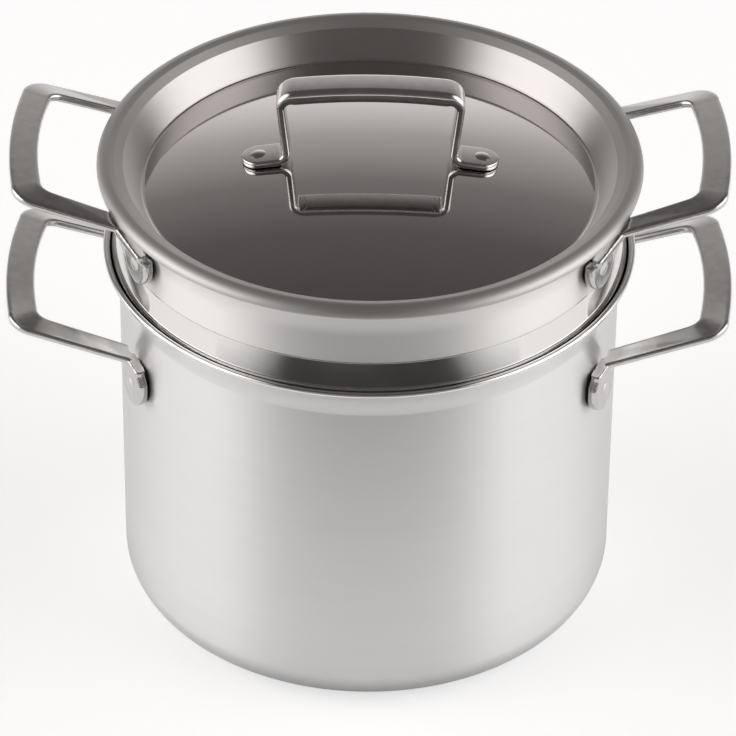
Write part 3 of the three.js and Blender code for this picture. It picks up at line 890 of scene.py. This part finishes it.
def tab_stations():
    """Left tab of the lid handle from its round tip, and its bend up into the leg."""
    stations = []
    for angle in TIP_ANGLES:
        centre = on_tab(TAB_X + TAB_RADIUS * math.sin(angle))
        stations.append(bridge_station(centre, 2 * TAB_RADIUS * math.cos(angle), TAB_THICKNESS))
    start = on_tab(LEG_BOTTOM_X + TAB_BEND)
    bend = arc(start.x, start.y + TAB_BEND, TAB_BEND, -math.pi / 2, 0, ARC_STEPS)
    for i, point in enumerate(bend):
        width = lerp(2 * TAB_RADIUS, LEG_WIDTH, i / ARC_STEPS)
        stations.append(bridge_station(point, width, LEG_THICKNESS))
    return stations


def grip_stations():
    """Bend of the lid handle from its left leg into the grip, and the arched grip up to its middle."""
    grip_x = GRIP_BEND - LEG_TOP_X
    grip_z = BRIDGE_TOP - BRIDGE_THICKNESS / 2
    bend = arc(grip_x, grip_z - BRIDGE_ARCH - GRIP_BEND, GRIP_BEND, math.pi, math.pi / 2, ARC_STEPS)
    stations = []
    for i, point in enumerate(bend):
        width = lerp(LEG_WIDTH, BRIDGE_WIDTH, i / ARC_STEPS)
        thickness = lerp(LEG_THICKNESS, BRIDGE_THICKNESS, i / ARC_STEPS)
        stations.append(bridge_station(point, width, thickness))
    for i in range(1, ARC_STEPS + 1):
        share = 1 - i / ARC_STEPS
        centre = Vector((share * grip_x, grip_z - BRIDGE_ARCH * share ** 2))
        stations.append(bridge_station(centre, BRIDGE_WIDTH, BRIDGE_THICKNESS))
    return stations


def lid_handle():
    """Lid handle: a strap bent into a bridge, from its left tab up a leg, along the grip and down again."""
    bm = bmesh.new()
    add_bar(bm, mirrored(tab_stations() + grip_stations(), FLIP_X))
    made = smooth_object("lid_handle_cast", bm, [BRIDGE_STEEL])
    place(made, "lid_handle", "lid")


# Rivets

def rivet(node, body, bottom, top, origin, axis):
    """Rivet with a low domed head on top of its grip and a wider flat head below it."""
    curve = (HEAD_RADIUS ** 2 + HEAD_HEIGHT ** 2) / (2 * HEAD_HEIGHT)
    start = math.asin(HEAD_RADIUS / curve)
    head = arc(0, top + HEAD_HEIGHT - curve, curve, math.pi / 2 - start, math.pi / 2, EDGE_STEPS)
    head[-1].x = 0
    outline = [
        Vector((0, bottom - HEAD_HEIGHT)),
        Vector((BACK_HEAD_FLAT, bottom - HEAD_HEIGHT)),
        Vector((BACK_HEAD_RADIUS, bottom)),
        Vector((SHANK_RADIUS, bottom)),
        Vector((SHANK_RADIUS, top)),
    ]
    bm = turned(outline + head, RIVET_SEGMENTS)
    turn = UP.rotation_difference(axis).to_matrix().to_4x4()
    bm.transform(Matrix.Translation(origin) @ turn)
    made = smooth_object(f"{node}_head", bm, [RIVET_STEEL])
    place(made, node, body)


def foot_rivets(body, loop, sheet):
    """The four rivets of a pair of loops."""
    angles = {
        "right_back": loop.foot_angle,
        "left_back": math.pi - loop.foot_angle,
        "left_front": math.pi + loop.foot_angle,
        "right_front": -loop.foot_angle,
    }
    for name, angle in angles.items():
        origin = outward(angle) * loop.wall_radius + UP * loop.rivet_z
        rivet(f"{body}_rivet_{name}", body, -sheet - 2 * FIT, FIT + FOOT_THICKNESS, origin, outward(angle))


def lid_rivets():
    """The two rivets of the lid handle's tabs, square to the dome under them."""
    for name, side in {"left": -1, "right": 1}.items():
        origin = Vector((side * TAB_X, 0, dome_height(TAB_X)))
        axis = Vector((-side * dome_slope(TAB_X), 0, 1)).normalized()
        rivet(f"lid_rivet_{name}", "lid", -LID_SHEET - FIT, FIT + TAB_THICKNESS, origin, axis)


# Stage, light and camera

def seen_rays(tree):
    """1 for camera, glossy and transmission rays, 0 for the rays that light other surfaces."""
    path = tree.nodes.new("ShaderNodeLightPath")
    shown = maths(tree, "MAXIMUM", path.outputs["Is Camera Ray"], path.outputs["Is Glossy Ray"])
    return maths(tree, "MAXIMUM", shown, path.outputs["Is Transmission Ray"])


def floor():
    """Floor that glows where it is seen, so that it is white but keeps a soft shadow."""
    bm = bmesh.new()
    bmesh.ops.create_grid(bm, x_segments=1, y_segments=1, size=FLOOR_HALF)
    material, tree, shader = new_material("floor_white", (FLOOR_GREY, FLOOR_GREY, FLOOR_GREY))
    shader.inputs["Roughness"].default_value = FLOOR_ROUGHNESS
    shader.inputs["Emission Color"].default_value = (1, 1, 1, 1)
    tree.links.new(maths(tree, "MULTIPLY", seen_rays(tree), FLOOR_GLOW), shader.inputs["Emission Strength"])
    smooth_object("floor", bm, [material])


def floor_shade(name, bm, strength_at):
    """Dark shade on the floor that shows only in the steel, with a strength by its place."""
    material, tree, shader = new_material(name, (SHADE_GREY, SHADE_GREY, SHADE_GREY))
    shader.inputs["Roughness"].default_value = 1
    x, y = coordinates(tree, object_point(tree))[:2]
    tree.links.new(strength_at(tree, x, y), shader.inputs["Alpha"])
    made = smooth_object(name, bm, [material])
    made.visible_camera = False
    made.visible_diffuse = False
    made.visible_shadow = False


def patch_strength(tree, x, y):
    """Strength of the dark patch, with soft ends and sides."""
    from_near = maths(tree, "SUBTRACT", PATCH_NEAR_Y, y)
    from_far = maths(tree, "SUBTRACT", y, PATCH_FAR_Y)
    from_side = maths(tree, "SUBTRACT", PATCH_HALF, maths(tree, "ABSOLUTE", x))
    end_share = maths(tree, "DIVIDE", maths(tree, "MINIMUM", from_near, from_far), PATCH_END_FADE)
    side_share = maths(tree, "DIVIDE", from_side, PATCH_SIDE_FADE)
    return maths(tree, "MINIMUM", maths(tree, "MINIMUM", end_share, side_share), 1)


def dark_patch():
    """Dark patch on the floor in front of the pot."""
    bm = bmesh.new()
    xs = (-PATCH_HALF, PATCH_HALF, PATCH_HALF, -PATCH_HALF)
    ys = (PATCH_FAR_Y, PATCH_FAR_Y, PATCH_NEAR_Y, PATCH_NEAR_Y)
    bm.faces.new([bm.verts.new((x, y, PATCH_HEIGHT)) for x, y in zip(xs, ys)])
    floor_shade("dark_patch", bm, patch_strength)


def contact_strength(tree, x, y):
    """Strength of the contact shade, which fades outwards round the pot's base."""
    outside = maths(tree, "SUBTRACT", axis_distance(tree, x, y), CONTACT_RADIUS)
    share = maths(tree, "SUBTRACT", 1, maths(tree, "DIVIDE", outside, CONTACT_FADE))
    limited = maths(tree, "MAXIMUM", maths(tree, "MINIMUM", share, 1), 0)
    return maths(tree, "MULTIPLY", limited, CONTACT_STRENGTH)


def contact_shade():
    """Shade where the pot stands on the floor."""
    bm = bmesh.new()
    outer = CONTACT_RADIUS + CONTACT_FADE
    disc = bmesh.ops.create_circle(bm, cap_ends=True, radius=outer, segments=TURN_SEGMENTS)
    bmesh.ops.translate(bm, verts=disc["verts"], vec=(0, 0, CONTACT_HEIGHT))
    floor_shade("contact_shade", bm, contact_strength)


def level_ramp(tree, value, levels, tint):
    """Colour ramp from a value to light levels in a tint."""
    node = tree.nodes.new("ShaderNodeValToRGB")
    stops = node.color_ramp.elements
    while len(stops) < len(levels):
        stops.new(1)
    for stop, (position, level) in zip(stops, levels.items()):
        stop.position = position
        stop.color = (*[level * part for part in tint], 1)
    tree.links.new(value, node.inputs[0])
    return node.outputs["Color"]


def added(tree, first, second):
    """Sum of two colours."""
    node = tree.nodes.new("ShaderNodeMix")
    node.data_type = "RGBA"
    node.blend_type = "ADD"
    node.inputs["Factor"].default_value = 1
    tree.links.new(first, node.inputs["A"])
    tree.links.new(second, node.inputs["B"])
    return node.outputs["Result"]


def studio():
    """Dim room, with a glow low behind the pot and a soft light at each side."""
    world = bpy.data.worlds.new("studio")
    bpy.context.scene.world = world
    world.use_nodes = True
    tree = world.node_tree
    x, y, z = coordinates(tree, tree.nodes.new("ShaderNodeTexCoord").outputs["Generated"])
    sideways = maths(tree, "MULTIPLY", maths(tree, "ABSOLUTE", x), SIDE_MIDDLE.x)
    backwards = maths(tree, "MULTIPLY", y, SIDE_MIDDLE.y)
    upwards = maths(tree, "MULTIPLY", z, SIDE_MIDDLE.z)
    to_side = maths(tree, "ADD", maths(tree, "ADD", sideways, backwards), upwards)
    room = level_ramp(tree, z, ROOM_LEVELS, ROOM_TINT)
    back = level_ramp(tree, y, BACK_LEVELS, GLOW_TINT)
    side = level_ramp(tree, to_side, SIDE_LEVELS, GLOW_TINT)
    total = added(tree, added(tree, room, back), side)
    tree.links.new(total, tree.nodes["Background"].inputs["Color"])


def camera():
    """Camera at the photograph's viewing angle."""
    data = bpy.data.cameras.new("camera")
    data.lens = LENS
    made = bpy.data.objects.new("camera", data)
    away = Vector((0, -math.cos(CAMERA_PITCH), math.sin(CAMERA_PITCH)))
    made.location = CAMERA_TARGET + away * CAMERA_DISTANCE
    aim = (-away).to_track_quat("-Z", "Y").to_matrix().to_4x4()
    made.rotation_euler = (aim @ Matrix.Rotation(CAMERA_ROLL, 4, "Z")).to_euler()
    bpy.context.scene.collection.objects.link(made)
    bpy.context.scene.camera = made


pot_body()
insert_basket()
lid_shell()
loop_pair("pot", POT_LOOP)
loop_pair("insert", INSERT_LOOP)
lid_handle()
foot_rivets("pot", POT_LOOP, POT_SHEET)
foot_rivets("insert", INSERT_LOOP, INSERT_SHEET)
lid_rivets()

floor()
dark_patch()
contact_shade()
studio()
camera()
bpy.context.scene.view_settings.view_transform = "Standard"
